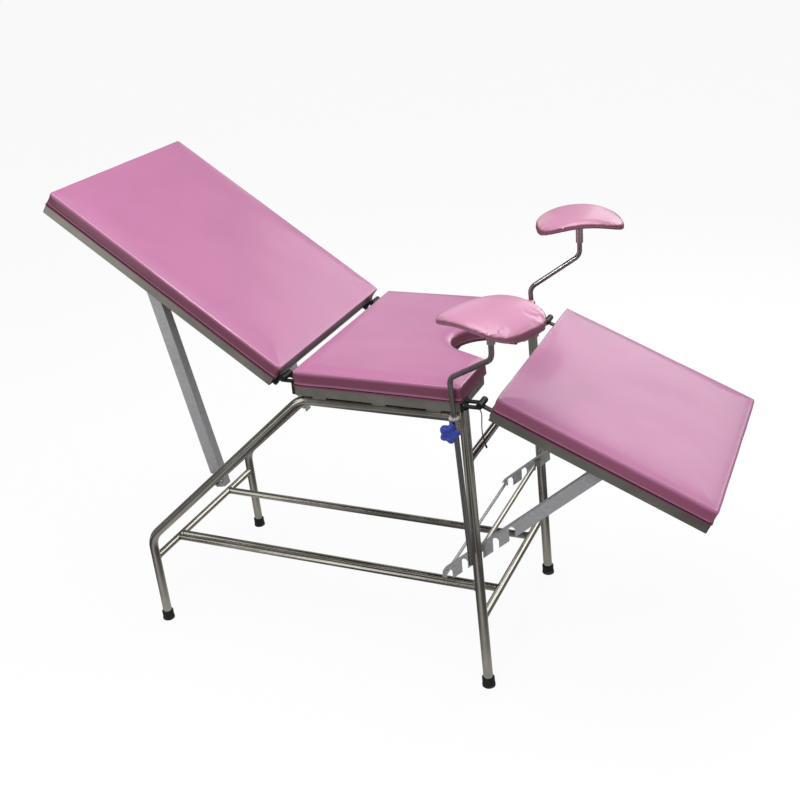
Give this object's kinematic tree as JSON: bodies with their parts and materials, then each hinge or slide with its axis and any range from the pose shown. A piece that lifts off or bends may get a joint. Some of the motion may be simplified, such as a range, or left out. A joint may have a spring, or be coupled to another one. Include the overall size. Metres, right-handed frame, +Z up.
{
  "type": "gynaecological examination table",
  "caption": "Upholstered gynaecological examination table with a propped back, an open-fronted seat, a lowered leg section and clamped knee crutches on a bent tube frame.",
  "frame": {"origin": "bottom centre of the overall bounding box, on the floor", "axes": "+X from the head end to the foot end, +Y to the side away from the corner brace, +Z up"},
  "size_m": [1.676, 0.9552, 1.2675],
  "materials": {
    "vinyl": "smooth glossy pink vinyl over foam",
    "crutch_vinyl": "smooth glossy pale pink vinyl over foam",
    "tube_steel": "satin stainless tube",
    "bright_rod": "polished stainless rod",
    "sheet_steel": "satin stainless sheet",
    "black_hinges": "black paint",
    "rubber_feet": "matt black rubber",
    "blue_knob": "moulded blue plastic",
    "bush_nylon": "pale nylon",
    "black_cord": "thin black cord",
    "plywood": "dark sealed plywood"
  },
  "bodies": {
    "frame": {"side_frame_near": "tube_steel", "side_frame_far": "tube_steel", "front_leg_near": "tube_steel", "front_leg_far": "tube_steel", "rear_crossbar": "tube_steel", "front_crossbar": "tube_steel", "stretchers": "tube_steel", "corner_brace": "tube_steel", "front_cross_tube": "tube_steel", "front_catch_rod": "tube_steel", "rear_catch_tube": "tube_steel", "seat_rail_near": "tube_steel", "seat_rail_far": "tube_steel", "seat_rear_rail": "tube_steel", "seat_mid_rail": "tube_steel", "seat_front_rails": "tube_steel", "frame_tabs": "tube_steel", "seat_board": "plywood", "seat_pad": "vinyl", "feet": "rubber_feet", "clamp_near": "tube_steel", "clamp_far": "tube_steel", "back_hinge_seat_leaves": "black_hinges", "leg_hinge_seat_leaves": "black_hinges", "hinge_pins": "black_hinges", "hinge_lanyard": "black_cord"},
    "back": {"back_rail_near": "tube_steel", "back_rail_far": "tube_steel", "back_head_rail": "tube_steel", "back_hinge_rail": "tube_steel", "back_mid_rail": "tube_steel", "back_board": "plywood", "back_pad": "vinyl", "back_hinge_leaves": "black_hinges", "strut_pins": "tube_steel"},
    "back_struts": {"strut_near": "sheet_steel", "strut_far": "sheet_steel", "strut_tie": "sheet_steel"},
    "leg": {"leg_rail_near": "tube_steel", "leg_rail_far": "tube_steel", "leg_hinge_rail": "tube_steel", "leg_foot_rail": "tube_steel", "leg_mid_rail": "tube_steel", "leg_board": "plywood", "leg_pad": "vinyl", "leg_hinge_leaves": "black_hinges", "notched_bar_pins": "tube_steel"},
    "notched_bars": {"notched_bar_near": "sheet_steel", "notched_bar_far": "sheet_steel", "tip_rod": "sheet_steel"},
    "crutch_turn_near": {"crutch_bush_near": "bush_nylon"},
    "crutch_post_near": {"crutch_rod_near": "bright_rod"},
    "crutch_rest_near": {"crutch_sleeve_near": "tube_steel", "crutch_pad_near": "crutch_vinyl"},
    "star_knob_near": {"knob_near": "blue_knob"},
    "crutch_turn_far": {"crutch_bush_far": "bush_nylon"},
    "crutch_post_far": {"crutch_rod_far": "bright_rod"},
    "crutch_rest_far": {"crutch_sleeve_far": "tube_steel", "crutch_pad_far": "crutch_vinyl"},
    "star_knob_far": {"knob_far": "blue_knob"}
  },
  "joints": [
    {"name": "back_hinge", "type": "hinge", "parent": "frame", "child": "back", "pos_m": [-0.20106, 0, 0.814], "axis": [0, 1, 0], "range_deg": [-35, 0]},
    {"name": "back_strut_swing", "type": "hinge", "parent": "back", "child": "back_struts", "pos_m": [-0.57857, 0, 1.04721], "axis": [0, 1, 0], "range_deg": [-38.1, 0]},
    {"name": "leg_hinge", "type": "hinge", "parent": "frame", "child": "leg", "pos_m": [0.30494, 0, 0.795], "axis": [0, 1, 0], "range_deg": [-24, 0]},
    {"name": "notched_bar_swing", "type": "hinge", "parent": "leg", "child": "notched_bars", "pos_m": [0.58823, 0, 0.66175], "axis": [0, 1, 0], "range_deg": [0, 34.62]},
    {"name": "crutch_swing_near", "type": "hinge", "parent": "frame", "child": "crutch_turn_near", "pos_m": [0.25159, -0.31, 0.748], "axis": [-0.0529, 0, 0.9986], "range_deg": [-90, 30]},
    {"name": "crutch_height_near", "type": "slide", "parent": "crutch_turn_near", "child": "crutch_post_near", "axis": [-0.0529, 0, 0.9986], "range_m": [-0.06, 0.25]},
    {"name": "crutch_swivel_near", "type": "hinge", "parent": "crutch_post_near", "child": "crutch_rest_near", "pos_m": [0.36794, -0.366, 0.99], "axis": [0, 0, 1], "range_deg": [-90, 90]},
    {"name": "knob_turn_near", "type": "hinge", "parent": "frame", "child": "star_knob_near", "pos_m": [0.25159, -0.345, 0.748], "axis": [0, -1, 0], "continuous": true},
    {"name": "crutch_swing_far", "type": "hinge", "parent": "frame", "child": "crutch_turn_far", "pos_m": [0.25159, 0.31, 0.748], "axis": [-0.0529, 0, 0.9986], "range_deg": [-30, 90]},
    {"name": "crutch_height_far", "type": "slide", "parent": "crutch_turn_far", "child": "crutch_post_far", "axis": [-0.0529, 0, 0.9986], "range_m": [-0.06, 0.25]},
    {"name": "crutch_swivel_far", "type": "hinge", "parent": "crutch_post_far", "child": "crutch_rest_far", "pos_m": [0.36794, 0.366, 0.99], "axis": [0, 0, 1], "range_deg": [-90, 90]},
    {"name": "knob_turn_far", "type": "hinge", "parent": "frame", "child": "star_knob_far", "pos_m": [0.25159, 0.345, 0.748], "axis": [0, 1, 0], "continuous": true}
  ],
  "couplings": [
    {"joint": "back_strut_swing", "follows": "back_hinge", "ratio": 1.08},
    {"joint": "notched_bar_swing", "follows": "leg_hinge", "ratio": -1.43}
  ]
}
